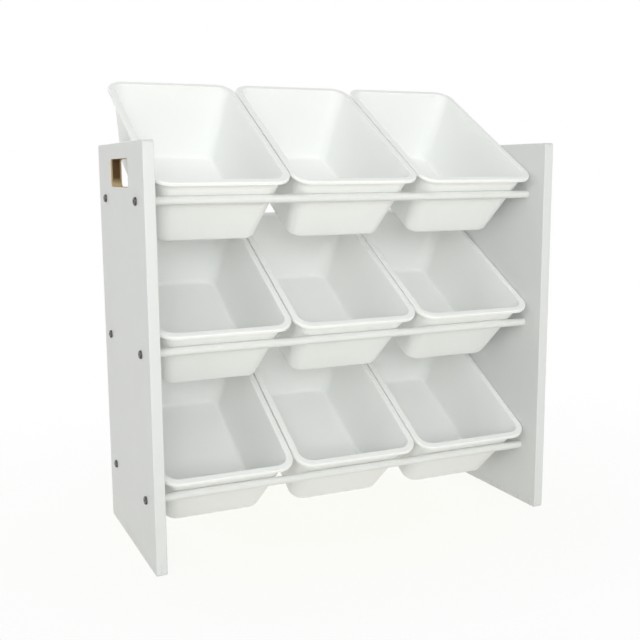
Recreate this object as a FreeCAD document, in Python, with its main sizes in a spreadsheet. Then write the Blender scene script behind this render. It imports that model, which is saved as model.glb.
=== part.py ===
"""Toy storage organizer: two side panels, six level rods in three pairs, and nine tilted bins.

Every bin leans its front wall on the front rod of its pair and rests its floor on the back rod.
X is the width, -Y is the front, +Z is up.  The origin is under the middle of the whole object,
on the floor.  All sizes are in millimetres and all angles in degrees.
"""
import FreeCAD
import Part
import Sketcher
import math
import os

COLUMNS = ("left", "centre", "right")
ROWS = ("bottom", "middle", "top")
SIDES = ("left", "right")
RANKS = ("front", "back")

# where an outline is drawn before its dimensions act on it
GUESS_HALF = 40.0
GUESS_LOW = 20.0
GUESS_HIGH = 120.0
GUESS_RADIUS = 8.0

# ---------------------------------------------------------------- driving dimensions
DRIVING_SIZES = (
    # side panels
    ("panel_thickness", 16),
    ("panel_corner_radius", 5),
    ("panel_edge_round", 1.5),
    ("panel_above_top_rod", 81),
    # hand hole in each panel
    ("handle_length", 106),
    ("handle_height", 40),
    ("handle_corner_radius", 6),
    ("handle_top_margin", 23),
    # rods, and where they stand in the panels
    ("rod_diameter", 12),
    ("rod_wall", 1.2),
    ("rod_spacing", 188),
    ("rod_setback", 45),
    ("lowest_rod_height", 98),
    # threaded plugs in the rod ends
    ("plug_length", 26),
    ("plug_clearance", 0.1),
    # bolts through the panels
    ("bolt_diameter", 6),
    ("bolt_engagement", 20),
    ("bolt_thread_clearance", 0.1),
    ("bolt_hole_clearance", 0.25),
    ("bolt_head_diameter", 12),
    ("bolt_head_height", 3.2),
    ("bolt_head_chamfer", 1),
    ("socket_radius", 2.3),
    ("socket_depth", 2),
    # bins
    ("bin_width", 207),
    ("bin_length", 313),
    ("bin_height", 121),
    ("bin_spacing", 2.2),
    ("wall_thickness", 2),
    ("floor_thickness", 2.2),
    ("side_inset", 18),
    ("front_inset", 28),
    ("back_inset", 21),
    ("tub_corner_radius", 22),
    ("floor_edge_radius", 9),
    # rolled lip round the mouth of a bin
    ("lip_width", 8),
    ("lip_thickness", 2),
    ("lip_edge_round", 1.6),
    ("skirt_depth", 5),
    ("skirt_thickness", 1.8),
    ("rim_corner_radius", 28),
    # how the bins lie on the rods
    ("seat_clearance", 0.3),
    ("rim_above_front_rod", 33.3),
    ("row_opening", 70.8),
)

# ---------------------------------------------------------------- sizes that follow from them
# tilt: the floor lies on the back rod while the front rod stands rim_above_front_rod under the rim.
# corner_along and corner_across place the front edge of the rim plane, measured from the front
# rod's axis along the rim and square to it; rim_front and rim_rise are the same point in Y and Z.
DERIVED_SIZES = (
    ("column_count", str(len(COLUMNS))),
    ("row_count", str(len(ROWS))),
    ("rod_radius", "=Sizes.rod_diameter / 2"),
    ("rod_bore_radius", "=rod_radius - Sizes.rod_wall"),
    ("column_pitch", "=Sizes.bin_width + Sizes.bin_spacing"),
    ("clear_width", "=column_count * column_pitch"),
    ("panel_depth", "=Sizes.rod_spacing + 2 * Sizes.rod_setback"),
    ("seat_radius", "=rod_radius + Sizes.seat_clearance"),
    ("tilt_rise", "=Sizes.bin_height + seat_radius - Sizes.rim_above_front_rod"),
    ("tilt", "=asin(tilt_rise / Sizes.rod_spacing) / 1 deg"),
    ("front_lean", "=atan(Sizes.front_inset / Sizes.bin_height) / 1 deg"),
    ("back_lean", "=atan(Sizes.back_inset / Sizes.bin_height) / 1 deg"),
    ("row_pitch", "=Sizes.bin_height / cos(tilt) + Sizes.row_opening"),
    ("top_rod_height", "=Sizes.lowest_rod_height + (row_count - 1) * row_pitch"),
    ("panel_height", "=top_rod_height + Sizes.panel_above_top_rod"),
    ("wall_at_rod", "=Sizes.lip_width + Sizes.rim_above_front_rod * tan(front_lean)"),
    ("corner_along", "=seat_radius / cos(front_lean) - wall_at_rod"),
    ("corner_across", "=Sizes.rim_above_front_rod"),
    ("rim_front", "=corner_along * cos(tilt) - corner_across * sin(tilt)"),
    ("rim_rise", "=corner_along * sin(tilt) + corner_across * cos(tilt)"),
    ("heel_depth", "=Sizes.bin_height - Sizes.floor_edge_radius"),
    ("heel_wall", "=Sizes.bin_length - Sizes.lip_width - heel_depth * tan(back_lean)"),
    ("heel_along", "=heel_wall - Sizes.floor_edge_radius / cos(back_lean)"),
    ("heel_back", "=heel_along * cos(tilt) + heel_depth * sin(tilt) + Sizes.floor_edge_radius"),
    ("overall_depth", "=Sizes.rod_setback + rim_front + heel_back"),
    ("front_face", "=-overall_depth / 2"),
    ("front_rod_place", "=front_face + Sizes.rod_setback"),
    ("back_rod_place", "=front_rod_place + Sizes.rod_spacing"),
    ("inner_face", "=clear_width / 2"),
)


def fill_sheet(doc, sheet_name, rows):
    """One value a row: its name in column A, its number or formula, with that alias, in B."""
    sheet = doc.addObject("Spreadsheet::Sheet", sheet_name)
    for line, (alias, value) in enumerate(rows, start=1):
        sheet.set(f"A{line}", alias)
        sheet.set(f"B{line}", str(value))
        sheet.setAlias(f"B{line}", alias)
    doc.recompute()
    return sheet


def bind(item, **expressions):
    """Tie properties to the sheets."""
    for name, expression in expressions.items():
        item.setExpression(name, expression)


def place(item, across, depth, height):
    """Tie a sub-part's position to the sheets."""
    for axis, expression in (("x", across), ("y", depth), ("z", height)):
        item.setExpression(f"Placement.Base.{axis}", expression)


def rod_height(row):
    return f"Sizes.lowest_rod_height + {row} * Seats.row_pitch"


# ---------------------------------------------------------------- sketches
def new_body(doc, label):
    body = doc.addObject("PartDesign::Body", label)
    body.Label = label
    return body


def new_sketch(body, name, plane, offset=None):
    """A sketch on one of the body's origin planes, moved along its normal by an expression."""
    sketch = body.newObject("Sketcher::SketchObject", name)
    support = [item for item in body.Origin.OriginFeatures if item.Role == plane][0]
    sketch.AttachmentSupport = (support, [""])
    sketch.MapMode = "FlatFace"
    if offset is not None:
        sketch.setExpression("AttachmentOffset.Base.z", offset)
    return sketch


def add_dimension(sketch, name, expression, *constraint):
    """A named dimension of a sketch, tied to the sheets."""
    number = sketch.addConstraint(Sketcher.Constraint(*constraint))
    sketch.renameConstraint(number, name)
    sketch.setExpression(f"Constraints.{name}", expression)


def add_rounded_rectangle(sketch, prefix, left, right, low, high, radius):
    """A rounded rectangle: left and right are distances from the origin to each side,
    low and high the distances from the origin up to its lower and upper sides.

    It is drawn at a first-guess size, and its five dimensions then bring it to the real one.
    """
    first = sketch.GeometryCount
    arcs = []
    corners = ((1, GUESS_LOW, -90), (1, GUESS_HIGH, 0), (-1, GUESS_HIGH, 90), (-1, GUESS_LOW, 180))
    for x_sign, centre_y, start in corners:
        centre = FreeCAD.Vector(x_sign * GUESS_HALF, centre_y, 0)
        circle = Part.Circle(centre, FreeCAD.Vector(0, 0, 1), GUESS_RADIUS)
        arcs.append(Part.ArcOfCircle(circle, math.radians(start), math.radians(start + 90)))
    for arc, following in zip(arcs, arcs[1:] + arcs[:1]):
        sketch.addGeometry(arc, False)
        sketch.addGeometry(Part.LineSegment(arc.EndPoint, following.StartPoint), False)
    for index, direction in enumerate(("Vertical", "Horizontal", "Vertical", "Horizontal")):
        arc = first + 2 * index
        side = arc + 1
        next_arc = first + (2 * index + 2) % 8
        sketch.addConstraint(Sketcher.Constraint("Tangent", arc, 2, side, 1))
        sketch.addConstraint(Sketcher.Constraint("Tangent", side, 2, next_arc, 1))
        sketch.addConstraint(Sketcher.Constraint(direction, side))
        if index:
            sketch.addConstraint(Sketcher.Constraint("Equal", first, arc))
    right_side, high_side, left_side, low_side = (first + 1, first + 3, first + 5, first + 7)
    add_dimension(sketch, f"{prefix}_radius", radius, "Radius", first, GUESS_RADIUS)
    add_dimension(sketch, f"{prefix}_right", right, "DistanceX", -1, 1, right_side, 1, GUESS_HALF)
    add_dimension(sketch, f"{prefix}_left", left, "DistanceX", left_side, 1, -1, 1, GUESS_HALF)
    add_dimension(sketch, f"{prefix}_low", low, "DistanceY", -1, 1, low_side, 1, GUESS_LOW)
    add_dimension(sketch, f"{prefix}_high", high, "DistanceY", -1, 1, high_side, 1, GUESS_HIGH)


def add_circle(sketch, name, radius, across="0", up="0"):
    """A circle at a distance across and up from the sketch's origin, first drawn at a guess."""
    guess = Part.Circle(FreeCAD.Vector(GUESS_LOW, GUESS_LOW, 0), FreeCAD.Vector(0, 0, 1), GUESS_RADIUS)
    number = sketch.addGeometry(guess, False)
    if across == "0" and up == "0":
        sketch.addConstraint(Sketcher.Constraint("Coincident", number, 3, -1, 1))
    else:
        add_dimension(sketch, f"{name}_across", across, "DistanceX", -1, 1, number, 3, GUESS_LOW)
        add_dimension(sketch, f"{name}_up", up, "DistanceY", -1, 1, number, 3, GUESS_LOW)
    add_dimension(sketch, f"{name}_radius", radius, "Radius", number, GUESS_RADIUS)


# ---------------------------------------------------------------- features
def add_feature(body, kind, name, sketch, **expressions):
    feature = body.newObject(kind, name)
    feature.Profile = sketch
    bind(feature, **expressions)
    sketch.Visibility = False
    return feature


def add_loft(body, kind, name, near_sketch, far_sketch):
    loft = body.newObject(kind, name)
    loft.Profile = near_sketch
    loft.Sections = [far_sketch]
    loft.Ruled = True
    return loft


def round_edges(body, name, radius, belongs):
    """A fillet along every edge of the body's present shape for which belongs() is true."""
    body.Document.recompute()
    base = body.Tip
    names = [f"Edge{number}" for number, edge in enumerate(base.Shape.Edges, start=1) if belongs(edge)]
    if not names:
        raise RuntimeError(f"{body.Label}: no edges for {name}")
    fillet = body.newObject("PartDesign::Fillet", name)
    fillet.Base = (base, names)
    fillet.setExpression("Radius", radius)
    return fillet


def lies_at(edge, axis, value, tolerance=0.01):
    """True where the whole edge lies in the plane axis = value."""
    box = edge.BoundBox
    low, high = (getattr(box, axis + "Min"), getattr(box, axis + "Max"))
    return abs(low - value) < tolerance and abs(high - value) < tolerance


# ---------------------------------------------------------------- side panels
def make_side_panel(doc, side, sizes):
    """Painted board with a rounded hand hole and a clearance hole for each rod's bolt."""
    body = new_body(doc, f"side_panel_{side}")
    outline = new_sketch(body, f"outline_{side}", "YZ_Plane")
    add_rounded_rectangle(
        outline, "board", "0", "Seats.panel_depth", "0", "Seats.panel_height",
        "Sizes.panel_corner_radius")
    add_feature(body, "PartDesign::Pad", f"board_{side}", outline, Length="Sizes.panel_thickness")

    round_edges(
        body, f"board_edges_{side}", "Sizes.panel_edge_round",
        lambda edge: lies_at(edge, "X", 0) or lies_at(edge, "X", sizes.panel_thickness))

    hand_hole = new_sketch(body, f"hand_hole_outline_{side}", "YZ_Plane")
    middle = "Seats.panel_depth / 2"
    top = "Seats.panel_height - Sizes.handle_top_margin"
    add_rounded_rectangle(
        hand_hole, "hole",
        f"-({middle} - Sizes.handle_length / 2)", f"{middle} + Sizes.handle_length / 2",
        f"{top} - Sizes.handle_height", top, "Sizes.handle_corner_radius")
    hand_hole_cut = add_feature(body, "PartDesign::Pocket", f"hand_hole_{side}", hand_hole)
    hand_hole_cut.Type = "ThroughAll"
    hand_hole_cut.Midplane = True

    bolt_holes = new_sketch(body, f"bolt_hole_outlines_{side}", "YZ_Plane")
    for row in range(len(ROWS)):
        for rank in RANKS:
            add_circle(
                bolt_holes, f"{rank}_{ROWS[row]}",
                "Sizes.bolt_diameter / 2 + Sizes.bolt_hole_clearance",
                f"Seats.{rank}_rod_place - Seats.front_face", rod_height(row))
    bolt_hole_cut = add_feature(body, "PartDesign::Pocket", f"bolt_holes_{side}", bolt_holes)
    bolt_hole_cut.Type = "ThroughAll"
    bolt_hole_cut.Midplane = True

    inner = "Seats.inner_face"
    place(
        body, across=f"-{inner} - Sizes.panel_thickness" if side == "left" else inner,
        depth="Seats.front_face", height="0")
    return body


# ---------------------------------------------------------------- rods and what fastens them
def make_rod(doc, rank, row):
    """Round tube that spans the two panels."""
    name = f"{rank}_{ROWS[row]}"
    body = new_body(doc, f"rod_{name}")
    section = new_sketch(body, f"rod_section_{name}", "YZ_Plane")
    add_circle(section, "outside", "Seats.rod_radius")
    add_circle(section, "bore", "Seats.rod_bore_radius")
    add_feature(body, "PartDesign::Pad", f"rod_length_{name}", section, Length="Seats.clear_width")
    place(body, across="-Seats.inner_face", depth=f"Seats.{rank}_rod_place", height=rod_height(row))
    return body


def add_cylinder(doc, name, radius, length):
    """A cylinder that runs along X."""
    cylinder = doc.addObject("Part::Cylinder", name)
    bind(cylinder, Radius=radius, Height=length)
    cylinder.Placement.Rotation = FreeCAD.Rotation(FreeCAD.Vector(0, 1, 0), 90)
    return cylinder


def cut(doc, name, base, tool):
    result = doc.addObject("Part::Cut", name)
    result.Base = base
    result.Tool = tool
    return result


def make_plug(doc, name):
    """Threaded sleeve pressed into a rod end.  It starts at its own origin and runs along +X."""
    sleeve = add_cylinder(
        doc, f"sleeve_{name}", "Seats.rod_bore_radius - Sizes.plug_clearance", "Sizes.plug_length")
    thread = add_cylinder(
        doc, f"thread_{name}", "Sizes.bolt_diameter / 2 + Sizes.bolt_thread_clearance",
        "Sizes.plug_length")
    return cut(doc, f"plug_{name}", sleeve, thread)


def make_bolt(doc, name):
    """Button-headed bolt with a hexagon socket.  Its head's seat is at its own origin and its
    shank runs along +X."""
    straight = "(Sizes.bolt_head_height - Sizes.bolt_head_chamfer)"
    head = add_cylinder(doc, f"head_{name}", "Sizes.bolt_head_diameter / 2", straight)
    head.setExpression("Placement.Base.x", f"-{straight}")
    crown = doc.addObject("Part::Cone", f"crown_{name}")
    bind(
        crown, Radius1="Sizes.bolt_head_diameter / 2 - Sizes.bolt_head_chamfer",
        Radius2="Sizes.bolt_head_diameter / 2", Height="Sizes.bolt_head_chamfer")
    crown.Placement.Rotation = FreeCAD.Rotation(FreeCAD.Vector(0, 1, 0), 90)
    crown.setExpression("Placement.Base.x", "-Sizes.bolt_head_height")
    shank = add_cylinder(
        doc, f"shank_{name}", "Sizes.bolt_diameter / 2",
        "Sizes.panel_thickness + Sizes.bolt_engagement")
    blank = doc.addObject("Part::MultiFuse", f"blank_{name}")
    blank.Shapes = [head, crown, shank]
    socket = doc.addObject("Part::Prism", f"socket_{name}")
    socket.Polygon = 6
    bind(socket, Circumradius="Sizes.socket_radius", Height="Sizes.socket_depth")
    socket.Placement.Rotation = FreeCAD.Rotation(FreeCAD.Vector(0, 1, 0), 90)
    socket.setExpression("Placement.Base.x", "-Sizes.bolt_head_height")
    return cut(doc, f"bolt_{name}", blank, socket)


def make_fastener_group(doc, label, side, make_one, left_start):
    """One fastener for each rod end on one side.  They lie on the rods' axes; those on the
    right are turned round to face the other way."""
    members = []
    for row in range(len(ROWS)):
        for rank in RANKS:
            member = make_one(doc, f"{side}_{rank}_{ROWS[row]}")
            place(
                member, across=left_start if side == "left" else f"-({left_start})",
                depth=f"Seats.{rank}_rod_place", height=rod_height(row))
            if side == "right":
                member.Placement.Rotation = FreeCAD.Rotation(FreeCAD.Vector(0, 0, 1), 180)
            members.append(member)
    group = doc.addObject("Part::Compound", label)
    group.Label = label
    group.Links = members
    return group


# ---------------------------------------------------------------- bins
def add_tub_outline(sketch, prefix, side_inset, front_inset, back_inset, radius):
    """An outline of the tub, set in from the outer edge of the rim by the given amounts."""
    half = f"Sizes.bin_width / 2 - ({side_inset})"
    add_rounded_rectangle(
        sketch, prefix, half, half, front_inset, f"Sizes.bin_length - ({back_inset})", radius)


def make_bin_form(doc, sizes):
    """The shape that all the bins share: a tapered open tub with rounded corners and a lip that
    turns down into a skirt.

    In its own frame X is across, Y runs from the front of the rim to the back, and Z = 0 is the
    rim plane.
    """
    body = new_body(doc, "bin_form")
    lip = "Sizes.lip_width"
    wall = "Sizes.wall_thickness"
    inside_radius = "Sizes.tub_corner_radius - Sizes.wall_thickness"

    mouth = new_sketch(body, "tub_mouth", "XY_Plane")
    add_tub_outline(mouth, "mouth", lip, lip, lip, "Sizes.tub_corner_radius")
    base = new_sketch(body, "tub_base", "XY_Plane", "-Sizes.bin_height")
    add_tub_outline(
        base, "base", f"{lip} + Sizes.side_inset", f"{lip} + Sizes.front_inset",
        f"{lip} + Sizes.back_inset", "Sizes.tub_corner_radius")
    add_loft(body, "PartDesign::AdditiveLoft", "tub", mouth, base)
    round_edges(
        body, "tub_foot", "Sizes.floor_edge_radius",
        lambda edge: lies_at(edge, "Z", -sizes.bin_height))

    rim = new_sketch(body, "rim_outline", "XY_Plane")
    add_tub_outline(rim, "rim", "0", "0", "0", "Sizes.rim_corner_radius")
    lip_pad = add_feature(body, "PartDesign::Pad", "lip", rim, Length="Sizes.lip_thickness")
    lip_pad.Reversed = True

    skirt = new_sketch(body, "skirt_outline", "XY_Plane")
    add_tub_outline(skirt, "outer", "0", "0", "0", "Sizes.rim_corner_radius")
    thin = "Sizes.skirt_thickness"
    add_tub_outline(skirt, "inner", thin, thin, thin, f"Sizes.rim_corner_radius - {thin}")
    skirt_pad = add_feature(body, "PartDesign::Pad", "skirt", skirt, Length="Sizes.skirt_depth")
    skirt_pad.Reversed = True

    hollow_mouth = new_sketch(body, "hollow_mouth", "XY_Plane")
    inset = f"{lip} + {wall}"
    add_tub_outline(hollow_mouth, "mouth", inset, inset, inset, inside_radius)
    hollow_floor = new_sketch(
        body, "hollow_floor", "XY_Plane", "Sizes.floor_thickness - Sizes.bin_height")
    add_tub_outline(
        hollow_floor, "floor", f"{inset} + Sizes.side_inset", f"{inset} + Sizes.front_inset",
        f"{inset} + Sizes.back_inset", inside_radius)
    add_loft(body, "PartDesign::SubtractiveLoft", "hollow", hollow_mouth, hollow_floor)

    hollow_level = sizes.floor_thickness - sizes.bin_height
    round_edges(
        body, "hollow_foot", "Sizes.floor_edge_radius - Sizes.wall_thickness",
        lambda edge: lies_at(edge, "Z", hollow_level))
    round_edges(
        body, "lip_round", "Sizes.lip_edge_round",
        lambda edge: lies_at(edge, "Z", 0))
    return body


def make_bin(doc, form, column, row):
    """One bin, leaning forward on its pair of rods."""
    label = f"bin_{ROWS[row]}_{COLUMNS[column]}"
    tub = doc.addObject("Part::Compound", label)
    tub.Label = label
    tub.Links = [form]
    tub.Placement.Rotation = FreeCAD.Rotation(FreeCAD.Vector(1, 0, 0), 0)
    tub.setExpression("Placement.Rotation.Angle", "Seats.tilt * 1 deg")
    place(
        tub, across=f"({column} - (Seats.column_count - 1) / 2) * Seats.column_pitch",
        depth="Seats.front_rod_place + Seats.rim_front",
        height=f"{rod_height(row)} + Seats.rim_rise")
    return tub


# ---------------------------------------------------------------- the whole organizer
def build(doc):
    sizes = fill_sheet(doc, "Sizes", DRIVING_SIZES)
    fill_sheet(doc, "Seats", DERIVED_SIZES)
    sub_parts = []
    for side in SIDES:
        sub_parts.append(make_side_panel(doc, side, sizes))
    for row in range(len(ROWS)):
        for rank in RANKS:
            sub_parts.append(make_rod(doc, rank, row))
    for side in SIDES:
        sub_parts.append(
            make_fastener_group(doc, f"rod_plugs_{side}", side, make_plug, "-Seats.inner_face"))
        sub_parts.append(
            make_fastener_group(
                doc, f"bolts_{side}", side, make_bolt, "-Seats.inner_face - Sizes.panel_thickness"))
    bin_form = make_bin_form(doc, sizes)
    for row in range(len(ROWS)):
        for column in range(len(COLUMNS)):
            sub_parts.append(make_bin(doc, bin_form, column, row))
    return sub_parts


def check(doc, sub_parts):
    """Stop where an object failed to build or a sub-part has no sound shape."""
    failed = [item.Name for item in doc.Objects if {"Invalid", "Error"} & set(item.State)]
    if failed:
        raise RuntimeError(f"objects failed: {failed}")
    for item in sub_parts:
        if item.Shape.isNull() or not item.Shape.isValid():
            raise RuntimeError(f"{item.Label}: shape is not sound")


def main():
    doc = FreeCAD.newDocument("organizer")
    sub_parts = build(doc)
    doc.recompute()
    check(doc, sub_parts)
    os.makedirs("parts", exist_ok=True)
    for item in sub_parts:
        item.Shape.exportStep(f"parts/{item.Label}.step")
        box = item.Shape.BoundBox
        print(
            f"{item.Label}: {len(item.Shape.Solids)} solid(s), volume {item.Shape.Volume:.1f}, "
            f"x {box.XMin:.2f} to {box.XMax:.2f}, y {box.YMin:.2f} to {box.YMax:.2f}, "
            f"z {box.ZMin:.2f} to {box.ZMax:.2f}")


main()
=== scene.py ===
import math

import bpy
from mathutils import Matrix, Vector


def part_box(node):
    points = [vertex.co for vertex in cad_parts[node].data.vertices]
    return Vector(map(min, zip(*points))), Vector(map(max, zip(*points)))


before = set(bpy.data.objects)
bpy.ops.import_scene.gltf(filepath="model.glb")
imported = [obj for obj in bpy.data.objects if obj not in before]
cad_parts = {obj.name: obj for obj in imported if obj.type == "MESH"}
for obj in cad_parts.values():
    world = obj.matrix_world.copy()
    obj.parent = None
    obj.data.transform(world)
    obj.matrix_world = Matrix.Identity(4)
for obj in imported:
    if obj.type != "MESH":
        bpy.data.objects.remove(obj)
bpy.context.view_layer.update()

MM = 0.001
ROWS = ("bottom", "middle", "top")
COLUMNS = ("left", "centre", "right")
SIDES = ("left", "right")
BINS = [f"bin_{row}_{column}" for row in ROWS for column in COLUMNS]
RODS = [f"rod_{rank}_{row}" for row in ROWS for rank in ("front", "back")]

# ---------------------------------------------------------------- the view
FOCAL_PIXELS = 939.4
IMAGE_PIXELS = 640
SENSOR_WIDTH = 36.0
CAMERA_PLACE = Vector((-634.9, -1382.0, 556.9)) * MM
CAMERA_TURN = math.radians(24.54)
CAMERA_DIP = math.radians(8.96)
CAMERA_ROLL = math.radians(-0.33)
CAMERA_REACH = 60.0

# ---------------------------------------------------------------- the hand hole, from the board
HOLE_LENGTH = 106 * MM
HOLE_HEIGHT = 40 * MM
HOLE_TOP_MARGIN = 23 * MM
HOLE_CORNER_RADIUS = 6 * MM
# Where the paint ends, outwards from the wall of the hole.
PAINT_EDGE = (0.3 * MM, 0.7 * MM)
# Where the painted light on the hole's walls ends: in from each face of the board, and up from the
# foot of the hole.
HOLE_LIGHT_FACE = (3.2 * MM, 0.8 * MM)
HOLE_LIGHT_FOOT = (1.0 * MM, 13.0 * MM)
HOLE_LIGHT_SHARE = 0.85

# ---------------------------------------------------------------- colours, linear
WHITE = (1.0, 1.0, 1.0, 1.0)
PAINT_DEEP, PAINT_PALE = (0.724, 0.739, 0.732, 1.0), (0.742, 0.756, 0.749, 1.0)
FLOOR_GRIME = (0.42, 0.40, 0.37, 1.0)
# Raw wood in the hand hole, painted dark for the shade inside the hole; the last of these is
# painted light, where light reaches the hole's mouth and foot.
WOOD_SHADE_DEEP, WOOD_SHADE_WARM = (0.052, 0.025, 0.004, 1.0), (0.130, 0.070, 0.018, 1.0)
WOOD_SHADE_STRAND = (0.086, 0.045, 0.010, 1.0)
WOOD_PAINTED_LIGHT = (0.74, 0.57, 0.34, 1.0)
COAT_DEEP, COAT_PALE = (0.785, 0.800, 0.780, 1.0), (0.810, 0.823, 0.805, 1.0)
COAT_RUBBED = (0.66, 0.66, 0.64, 1.0)
NICKEL_DARK, NICKEL_RUBBED = (0.120, 0.118, 0.116, 1.0), (0.270, 0.266, 0.260, 1.0)
STEEL_DARK, STEEL_BRIGHT = (0.42, 0.41, 0.40, 1.0), (0.58, 0.57, 0.55, 1.0)
PLASTIC_DEEP, PLASTIC_PALE = (0.942, 0.956, 0.940, 1.0), (0.956, 0.968, 0.954, 1.0)
PLASTIC_SCUFF = (0.965, 0.965, 0.96, 1.0)
PLASTIC_IOR = 1.49
PAPER_DEEP, PAPER_PALE = (0.93, 0.915, 0.86, 1.0), (0.94, 0.925, 0.875, 1.0)
# Warm painted shadow tint on the floor under the object.
PAPER_SHADOW_TINT = (1.0, 1.0, 0.955, 1.0)
SKY_COLOUR = (0.99, 1.0, 0.985, 1.0)

# ---------------------------------------------------------------- grain, as noise cells per metre
PAINT_PEEL, PAINT_CLOUD, PAINT_SHEEN = 420.0, 7.0, 28.0
GRIME_PATCHES = 160.0
WOOD_FIBRE = 900.0
WOOD_STRANDS = (250.0, 1100.0, 1100.0)
COAT_PEBBLE, COAT_WAVE, COAT_RUBBING, COAT_CLOUD = 1500.0, 240.0, 55.0, 11.0
NICKEL_GRAIN, NICKEL_RUBBING = 2600.0, 420.0
STEEL_RINGS = (5200.0, 60.0, 60.0)
PLASTIC_GRAIN, SCUFF_PATCHES = 2100.0, 16.0
PLASTIC_FLOW = (9.0, 22.0, 22.0)
PLASTIC_SCRATCHES = (60.0, 900.0, 900.0)
PAPER_CLOUD = 3.0

# ---------------------------------------------------------------- noise levels, from none to full
PLAIN_BAND = (0.3, 0.7)
RING_BAND = (0.2, 0.8)
GRIME_BAND = (0.5, 0.72)
STRAND_BAND = (0.42, 0.7)
COAT_BAND = (0.48, 0.66)
NICKEL_BAND = (0.52, 0.72)
SCRATCH_BAND = (0.60, 0.72)
SCUFF_BAND = (0.5, 0.7)

# ---------------------------------------------------------------- how much each mark shows
GRIME_HEIGHT = (3 * MM, 22 * MM)
GRIME_SHARE = 0.45
COAT_RUBBED_SHARE = 0.12
SCUFF_SHARE = 0.25
SCUFF_ROUGHNESS = 0.14
FLOW_DISTORTION = 1.2

# ---------------------------------------------------------------- roughness, across the noise
PAINT_ROUGHNESS = (0.40, 0.52)
WOOD_ROUGHNESS = 0.86
COAT_ROUGHNESS = (0.44, 0.30)
NICKEL_ROUGHNESS = (0.26, 0.40)
STEEL_ROUGHNESS = (0.22, 0.38)
PLASTIC_ROUGHNESS = (0.40, 0.48)
PAPER_ROUGHNESS, PAPER_SPECULAR = 0.9, 0.1

# ---------------------------------------------------------------- relief, as depth of the bump
BOARD_RELIEF = 0.035 * MM
ROD_RELIEF = 0.018 * MM
METAL_RELIEF = 0.010 * MM
BIN_RELIEF = 0.016 * MM
# Heights next to the finest grain's, which is 1.
WOOD_HEIGHT, WAVE_HEIGHT, SCUFF_HEIGHT = 6.0, 2.0, 0.8

# ---------------------------------------------------------------- shading of the faces
SEAM_GAP = 2e-6
EDGE_ANGLE = math.radians(32)
FLAT_WEIGHT = 80

# ---------------------------------------------------------------- floor
FLOOR_SIZE = 6.0
FLOOR_DROP = 0.0004
FLOOR_REACH_X, FLOOR_REACH_Y = 1.25, 0.95
# In shares of that reach: where the warm painted shadow tint under the object ends, and where the
# floor fades out.
SHADOW_TINT_SPAN = (0.1, 0.42)
FADE_SPAN = (0.38, 0.90)
PAPER_LIFT = 0.90

# ---------------------------------------------------------------- light
# The sky's strength at the horizon, and from SKY_TOP (the Z of the direction) upwards.
SKY_LOW, SKY_HIGH = 0.74, 0.47
SKY_TOP = 0.7
LAMP_AIM = (0.0, 0.0, 0.35)
# name, place, size, watts
LAMPS = (
    ("key", (-1.4, -2.8, 1.75), (1.4, 1.0), 14.0),
    ("fill", (-0.8, -3.0, 0.95), (1.4, 0.7), 27.0),
    ("left", (-3.0, -0.7, 1.1), (1.8, 1.8), 2.5),
    ("right", (2.9, 0.7, 1.1), (1.8, 1.8), 11.0),
    ("rear", (-0.3, 2.4, 1.9), (2.4, 1.2), 20.0),
)


def add_camera():
    """A camera at the photograph's place, looking to the right of the front and slightly down."""
    turn, dip = CAMERA_TURN, CAMERA_DIP
    forward = Vector((
        math.sin(turn) * math.cos(dip), math.cos(turn) * math.cos(dip), -math.sin(dip)))
    level = Vector((math.cos(turn), -math.sin(turn), 0.0))
    above = level.cross(forward)
    right = level * math.cos(CAMERA_ROLL) + above * math.sin(CAMERA_ROLL)
    up = above * math.cos(CAMERA_ROLL) - level * math.sin(CAMERA_ROLL)
    camera = bpy.data.cameras.new("view_camera")
    camera.sensor_width = SENSOR_WIDTH
    camera.lens = FOCAL_PIXELS * SENSOR_WIDTH / IMAGE_PIXELS
    camera.clip_end = CAMERA_REACH
    holder = bpy.data.objects.new("view_camera", camera)
    turned = Matrix((right, up, -forward)).transposed().to_4x4()
    holder.matrix_world = Matrix.Translation(CAMERA_PLACE) @ turned
    bpy.context.scene.collection.objects.link(holder)
    bpy.context.scene.camera = holder


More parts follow.
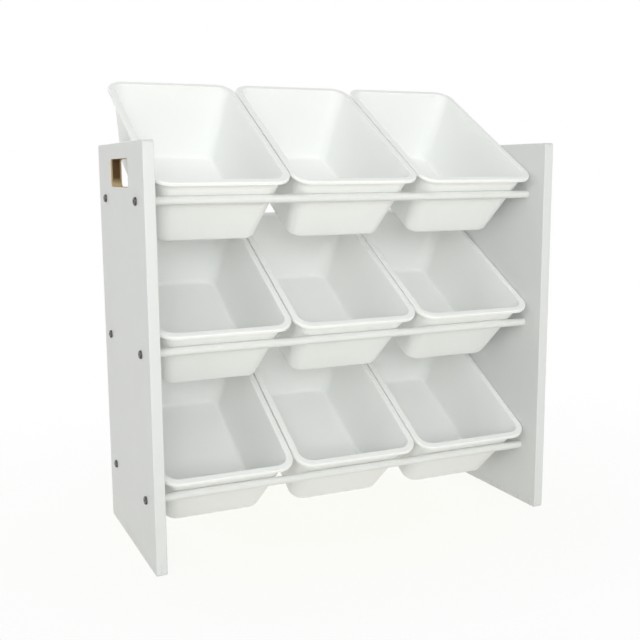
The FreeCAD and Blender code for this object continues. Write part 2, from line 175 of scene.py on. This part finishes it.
# ---------------------------------------------------------------- node helpers
class Graph:
    """A material's nodes, with short calls for the few kinds that are used here."""

    def __init__(self, name):
        self.material = bpy.data.materials.new(name)
        self.material.use_nodes = True
        self.nodes = self.material.node_tree.nodes
        self.links = self.material.node_tree.links
        self.shader = self.nodes["Principled BSDF"]
        self.place = self.nodes.new("ShaderNodeTexCoord").outputs["Object"]

    def feed(self, socket, value):
        """Link the socket to another, or set it to a plain value."""
        if isinstance(value, bpy.types.NodeSocket):
            self.links.new(value, socket)
        else:
            socket.default_value = value

    def set(self, **inputs):
        """Shader inputs by name, with underscores for spaces."""
        for name, value in inputs.items():
            self.feed(self.shader.inputs[name.replace("_", " ")], value)

    def stretch(self, scale):
        """The object's coordinates, scaled differently along each axis."""
        node = self.nodes.new("ShaderNodeMapping")
        self.feed(node.inputs["Vector"], self.place)
        node.inputs["Scale"].default_value = scale
        return node.outputs["Vector"]

    def noise(self, scale, detail=3.0, roughness=0.5, place=None, distortion=0.0):
        node = self.nodes.new("ShaderNodeTexNoise")
        self.feed(node.inputs["Vector"], place or self.place)
        node.inputs["Scale"].default_value = scale
        node.inputs["Detail"].default_value = detail
        node.inputs["Roughness"].default_value = roughness
        node.inputs["Distortion"].default_value = distortion
        return node.outputs["Fac"]

    def axis(self, name):
        """One of the object's coordinates: X, Y or Z."""
        node = self.nodes.new("ShaderNodeSeparateXYZ")
        self.feed(node.inputs[0], self.place)
        return node.outputs[name]

    def math(self, operation, first, second=0.0):
        node = self.nodes.new("ShaderNodeMath")
        node.operation = operation
        self.feed(node.inputs[0], first)
        self.feed(node.inputs[1], second)
        return node.outputs[0]

    def span(self, value, low, high, to_low=0.0, to_high=1.0):
        """value from low..high carried to to_low..to_high, held at the ends."""
        node = self.nodes.new("ShaderNodeMapRange")
        for name, number in (
                ("Value", value), ("From Min", low), ("From Max", high),
                ("To Min", to_low), ("To Max", to_high)):
            self.feed(node.inputs[name], number)
        return node.outputs["Result"]

    def mix(self, factor, first, second):
        node = self.nodes.new("ShaderNodeMix")
        node.data_type = "RGBA"
        self.feed(node.inputs["Factor"], factor)
        self.feed(node.inputs["A"], first)
        self.feed(node.inputs["B"], second)
        return node.outputs["Result"]

    def bump(self, height, depth):
        node = self.nodes.new("ShaderNodeBump")
        node.inputs["Strength"].default_value = 1.0
        node.inputs["Distance"].default_value = depth
        self.feed(node.inputs["Height"], height)
        return node.outputs["Normal"]


# ---------------------------------------------------------------- finishes
def hand_hole_mask(g):
    """1 on the raw walls of the hand hole, 0 on the painted faces of the board."""
    low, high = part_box("side_panel_left")
    middle_y = (low.y + high.y) / 2
    middle_z = high.z - HOLE_TOP_MARGIN - HOLE_HEIGHT / 2
    straight_y = HOLE_LENGTH / 2 - HOLE_CORNER_RADIUS
    straight_z = HOLE_HEIGHT / 2 - HOLE_CORNER_RADIUS
    along = g.math("ABSOLUTE", g.math("SUBTRACT", g.axis("Y"), middle_y))
    across = g.math("ABSOLUTE", g.math("SUBTRACT", g.axis("Z"), middle_z))
    past_y = g.math("MAXIMUM", g.math("SUBTRACT", along, straight_y), 0.0)
    past_z = g.math("MAXIMUM", g.math("SUBTRACT", across, straight_z), 0.0)
    squares = g.math("ADD", g.math("POWER", past_y, 2.0), g.math("POWER", past_z, 2.0))
    away = g.math("SQRT", squares)
    paint_from, paint_to = (HOLE_CORNER_RADIUS + edge for edge in PAINT_EDGE)
    return g.span(away, paint_from, paint_to, 1.0, 0.0)


def hole_painted_light(g):
    """Near 1 where painted light falls on the hole's walls: by the board's faces, at the hole's
    mouth, and along its up-facing foot.
    """
    low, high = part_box("side_panel_right")
    middle_x = (low.x + high.x) / 2
    half = (high.x - low.x) / 2
    foot = high.z - HOLE_TOP_MARGIN - HOLE_HEIGHT
    depth = g.math("ABSOLUTE", g.math("SUBTRACT", g.math("ABSOLUTE", g.axis("X")), middle_x))
    near_face = g.span(depth, half - HOLE_LIGHT_FACE[0], half - HOLE_LIGHT_FACE[1])
    near_foot = g.span(g.axis("Z"), foot + HOLE_LIGHT_FOOT[0], foot + HOLE_LIGHT_FOOT[1], 1.0, 0.0)
    return g.math("MULTIPLY", g.math("MAXIMUM", near_face, near_foot), HOLE_LIGHT_SHARE)


def board_finish():
    """Satin white paint rolled onto fibreboard, with the raw board showing inside the hand hole,
    painted dark there for the shade in the hole and paler where light reaches its mouth and foot.
    """
    g = Graph("painted_board")
    raw = hand_hole_mask(g)
    peel = g.noise(PAINT_PEEL, detail=2.0)
    cloud = g.noise(PAINT_CLOUD, detail=4.0, roughness=0.6)
    fibre = g.noise(WOOD_FIBRE, detail=6.0, roughness=0.75)
    strand = g.noise(1.0, detail=5.0, roughness=0.7, place=g.stretch(WOOD_STRANDS))
    by_floor = g.span(g.axis("Z"), *GRIME_HEIGHT, 1.0, 0.0)
    patches = g.span(g.noise(GRIME_PATCHES, detail=5.0, roughness=0.7), *GRIME_BAND)
    grime = g.math("MULTIPLY", by_floor, patches)
    paint = g.mix(cloud, PAINT_DEEP, PAINT_PALE)
    paint = g.mix(g.math("MULTIPLY", grime, GRIME_SHARE), paint, FLOOR_GRIME)
    # Painted shade on the hand hole's walls, with painted light by the board's faces and along the
    # foot.
    hole_wood_painted_shade = g.mix(fibre, WOOD_SHADE_DEEP, WOOD_SHADE_WARM)
    hole_wood_painted_shade = g.mix(g.span(strand, *STRAND_BAND), hole_wood_painted_shade, WOOD_SHADE_STRAND)
    hole_wood_painted_shade = g.mix(hole_painted_light(g), hole_wood_painted_shade, WOOD_PAINTED_LIGHT)
    sheen = g.noise(PAINT_SHEEN, detail=5.0, roughness=0.65)
    rough = g.span(sheen, *PLAIN_BAND, *PAINT_ROUGHNESS)
    painted_relief = g.math("MULTIPLY", peel, g.math("SUBTRACT", 1.0, raw))
    raw_relief = g.math("MULTIPLY", g.math("MULTIPLY", fibre, raw), WOOD_HEIGHT)
    g.set(
        Base_Color=g.mix(raw, paint, hole_wood_painted_shade),
        Roughness=g.math("MAXIMUM", rough, g.math("MULTIPLY", raw, WOOD_ROUGHNESS)),
        Normal=g.bump(g.math("ADD", painted_relief, raw_relief), BOARD_RELIEF))
    return g.material


def rod_finish():
    """White powder coat: a fine pebbled skin, rubbed smoother in patches."""
    g = Graph("powder_coat")
    pebble = g.noise(COAT_PEBBLE, detail=2.0)
    wave = g.noise(COAT_WAVE, detail=2.0)
    rubbed = g.span(g.noise(COAT_RUBBING, detail=6.0, roughness=0.7), *COAT_BAND)
    coat = g.mix(g.noise(COAT_CLOUD), COAT_DEEP, COAT_PALE)
    coat = g.mix(g.math("MULTIPLY", rubbed, COAT_RUBBED_SHARE), coat, COAT_RUBBED)
    g.set(
        Base_Color=coat,
        Roughness=g.span(rubbed, 0.0, 1.0, *COAT_ROUGHNESS),
        Normal=g.bump(g.math("ADD", pebble, g.math("MULTIPLY", wave, WAVE_HEIGHT)), ROD_RELIEF))
    return g.material


def bolt_finish():
    """Dark nickel plate, brighter where the key and the hand have rubbed it."""
    g = Graph("dark_nickel")
    grain = g.noise(NICKEL_GRAIN)
    rubbed = g.span(g.noise(NICKEL_RUBBING, detail=6.0, roughness=0.75), *NICKEL_BAND)
    g.set(
        Base_Color=g.mix(rubbed, NICKEL_DARK, NICKEL_RUBBED),
        Metallic=1.0,
        Roughness=g.span(grain, *PLAIN_BAND, *NICKEL_ROUGHNESS),
        Normal=g.bump(grain, METAL_RELIEF))
    return g.material


def plug_finish():
    """Turned steel with the tool's fine rings round it."""
    g = Graph("turned_steel")
    rings = g.noise(1.0, place=g.stretch(STEEL_RINGS))
    g.set(
        Base_Color=g.mix(rings, STEEL_DARK, STEEL_BRIGHT),
        Metallic=1.0,
        Roughness=g.span(rings, *RING_BAND, *STEEL_ROUGHNESS),
        Normal=g.bump(rings, METAL_RELIEF))
    return g.material


def bin_finish():
    """Moulded polypropylene: a fine spark-eroded matt skin, faint flow marks and light scuffs."""
    g = Graph("moulded_bin")
    grain = g.noise(PLASTIC_GRAIN, detail=2.0)
    flow = g.noise(
        1.0, detail=4.0, roughness=0.6, place=g.stretch(PLASTIC_FLOW), distortion=FLOW_DISTORTION)
    scratch = g.noise(1.0, detail=5.0, roughness=0.75, place=g.stretch(PLASTIC_SCRATCHES))
    patches = g.span(g.noise(SCUFF_PATCHES), *SCUFF_BAND)
    scuffed = g.math("MULTIPLY", g.span(scratch, *SCRATCH_BAND), patches)
    tone = g.mix(flow, PLASTIC_DEEP, PLASTIC_PALE)
    tone = g.mix(g.math("MULTIPLY", scuffed, SCUFF_SHARE), tone, PLASTIC_SCUFF)
    even_rough = g.span(flow, *PLAIN_BAND, *PLASTIC_ROUGHNESS)
    rough = g.math("ADD", even_rough, g.math("MULTIPLY", scuffed, SCUFF_ROUGHNESS))
    relief = g.math("ADD", grain, g.math("MULTIPLY", scuffed, SCUFF_HEIGHT))
    g.set(
        Base_Color=tone,
        Roughness=rough,
        IOR=PLASTIC_IOR,
        Normal=g.bump(relief, BIN_RELIEF))
    return g.material


def smooth_shading(node):
    """Rounds shade as rounds, flats as flats, and an edge stays an edge."""
    node.data.shade_smooth()
    weld = node.modifiers.new("joined_seams", "WELD")
    weld.merge_threshold = SEAM_GAP
    split = node.modifiers.new("crisp_edges", "EDGE_SPLIT")
    split.split_angle = EDGE_ANGLE
    even = node.modifiers.new("even_flats", "WEIGHTED_NORMAL")
    even.mode = "FACE_AREA"
    even.weight = FLAT_WEIGHT


def dress(name, material):
    """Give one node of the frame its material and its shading."""
    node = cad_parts[name]
    node.data.materials.clear()
    node.data.materials.append(material)
    smooth_shading(node)


def dress_all():
    board, rod, bolt, plug, plastic = (
        board_finish(), rod_finish(), bolt_finish(), plug_finish(), bin_finish())
    for side in SIDES:
        dress(f"side_panel_{side}", board)
        dress(f"bolts_{side}", bolt)
        dress(f"rod_plugs_{side}", plug)
    for name in RODS:
        dress(name, rod)
    for name in BINS:
        dress(name, plastic)


# ---------------------------------------------------------------- floor and light
def floor_reach(g):
    """Distance from the object's middle, in shares of an ellipse on the floor."""
    across = g.math("POWER", g.math("DIVIDE", g.axis("X"), FLOOR_REACH_X), 2.0)
    along = g.math("POWER", g.math("DIVIDE", g.axis("Y"), FLOOR_REACH_Y), 2.0)
    return g.math("SQRT", g.math("ADD", across, along))


def paper_finish():
    """Pale paper, lifted towards white and faded out for the camera and in reflections, with a warm
    painted shadow tint under the object.
    """
    g = Graph("studio_floor")
    g.set(
        Base_Color=g.mix(g.noise(PAPER_CLOUD), PAPER_DEEP, PAPER_PALE),
        Roughness=PAPER_ROUGHNESS,
        Specular_IOR_Level=PAPER_SPECULAR)
    reach = floor_reach(g)
    clear = g.nodes.new("ShaderNodeBsdfTransparent")
    paper = g.nodes.new("ShaderNodeEmission")
    # The lifted white carries a warm painted shadow tint under the object.
    g.feed(paper.inputs["Color"], g.mix(g.span(reach, *SHADOW_TINT_SPAN), PAPER_SHADOW_TINT, WHITE))
    path = g.nodes.new("ShaderNodeLightPath").outputs
    seen = g.math("MAXIMUM", path["Is Camera Ray"], path["Is Glossy Ray"])
    seen = g.math("MAXIMUM", seen, path["Is Transmission Ray"])
    lifted = g.nodes.new("ShaderNodeMixShader")
    g.feed(lifted.inputs[0], g.math("MULTIPLY", seen, PAPER_LIFT))
    g.links.new(g.shader.outputs[0], lifted.inputs[1])
    g.links.new(paper.outputs[0], lifted.inputs[2])
    faded = g.nodes.new("ShaderNodeMixShader")
    g.feed(faded.inputs[0], g.math("MULTIPLY", seen, g.span(reach, *FADE_SPAN)))
    g.links.new(lifted.outputs[0], faded.inputs[1])
    g.links.new(clear.outputs[0], faded.inputs[2])
    g.links.new(faded.outputs[0], g.nodes["Material Output"].inputs["Surface"])
    return g.material


def add_floor():
    """A pale floor that carries the shadow and fades into the white round it."""
    bpy.ops.mesh.primitive_plane_add(size=FLOOR_SIZE, location=(0.0, 0.0, -FLOOR_DROP))
    floor = bpy.context.active_object
    floor.name = "studio_floor"
    floor.data.materials.append(paper_finish())


def add_lamp(name, place, size, watts):
    lamp = bpy.data.lights.new(name, "AREA")
    lamp.shape = "RECTANGLE"
    lamp.size, lamp.size_y = size
    lamp.energy = watts
    holder = bpy.data.objects.new(name, lamp)
    holder.location = place
    holder.rotation_mode = "QUATERNION"
    holder.rotation_quaternion = (Vector(LAMP_AIM) - Vector(place)).to_track_quat("-Z", "Y")
    bpy.context.scene.collection.objects.link(holder)


def add_lights():
    """A fill beside the camera, a key above it, and weaker lamps for the other sides."""
    for name, place, size, watts in LAMPS:
        add_lamp(name, place, size, watts)


def add_surroundings():
    """White to the camera and in reflections; a soft sky, brighter low down, to the rest."""
    world = bpy.data.worlds.new("studio")
    bpy.context.scene.world = world
    world.use_nodes = True
    nodes, links = world.node_tree.nodes, world.node_tree.links
    nodes.clear()
    output = nodes.new("ShaderNodeOutputWorld")
    path = nodes.new("ShaderNodeLightPath").outputs
    seen = path["Is Camera Ray"]
    for name in ("Is Glossy Ray", "Is Transmission Ray"):
        either = nodes.new("ShaderNodeMath")
        either.operation = "MAXIMUM"
        links.new(seen, either.inputs[0])
        links.new(path[name], either.inputs[1])
        seen = either.outputs[0]
    white = nodes.new("ShaderNodeBackground")
    white.inputs["Color"].default_value = WHITE
    white.inputs["Strength"].default_value = 1.0
    direction = nodes.new("ShaderNodeTexCoord")
    split = nodes.new("ShaderNodeSeparateXYZ")
    links.new(direction.outputs["Generated"], split.inputs[0])
    rise = nodes.new("ShaderNodeMapRange")
    for name, number in (
            ("From Min", 0.0), ("From Max", SKY_TOP), ("To Min", SKY_LOW), ("To Max", SKY_HIGH)):
        rise.inputs[name].default_value = number
    links.new(split.outputs["Z"], rise.inputs["Value"])
    sky = nodes.new("ShaderNodeBackground")
    sky.inputs["Color"].default_value = SKY_COLOUR
    links.new(rise.outputs["Result"], sky.inputs["Strength"])
    mix = nodes.new("ShaderNodeMixShader")
    links.new(seen, mix.inputs[0])
    links.new(sky.outputs[0], mix.inputs[1])
    links.new(white.outputs[0], mix.inputs[2])
    links.new(mix.outputs[0], output.inputs["Surface"])


dress_all()
add_floor()
add_surroundings()
add_lights()
add_camera()
bpy.context.scene.view_settings.view_transform = "Standard"
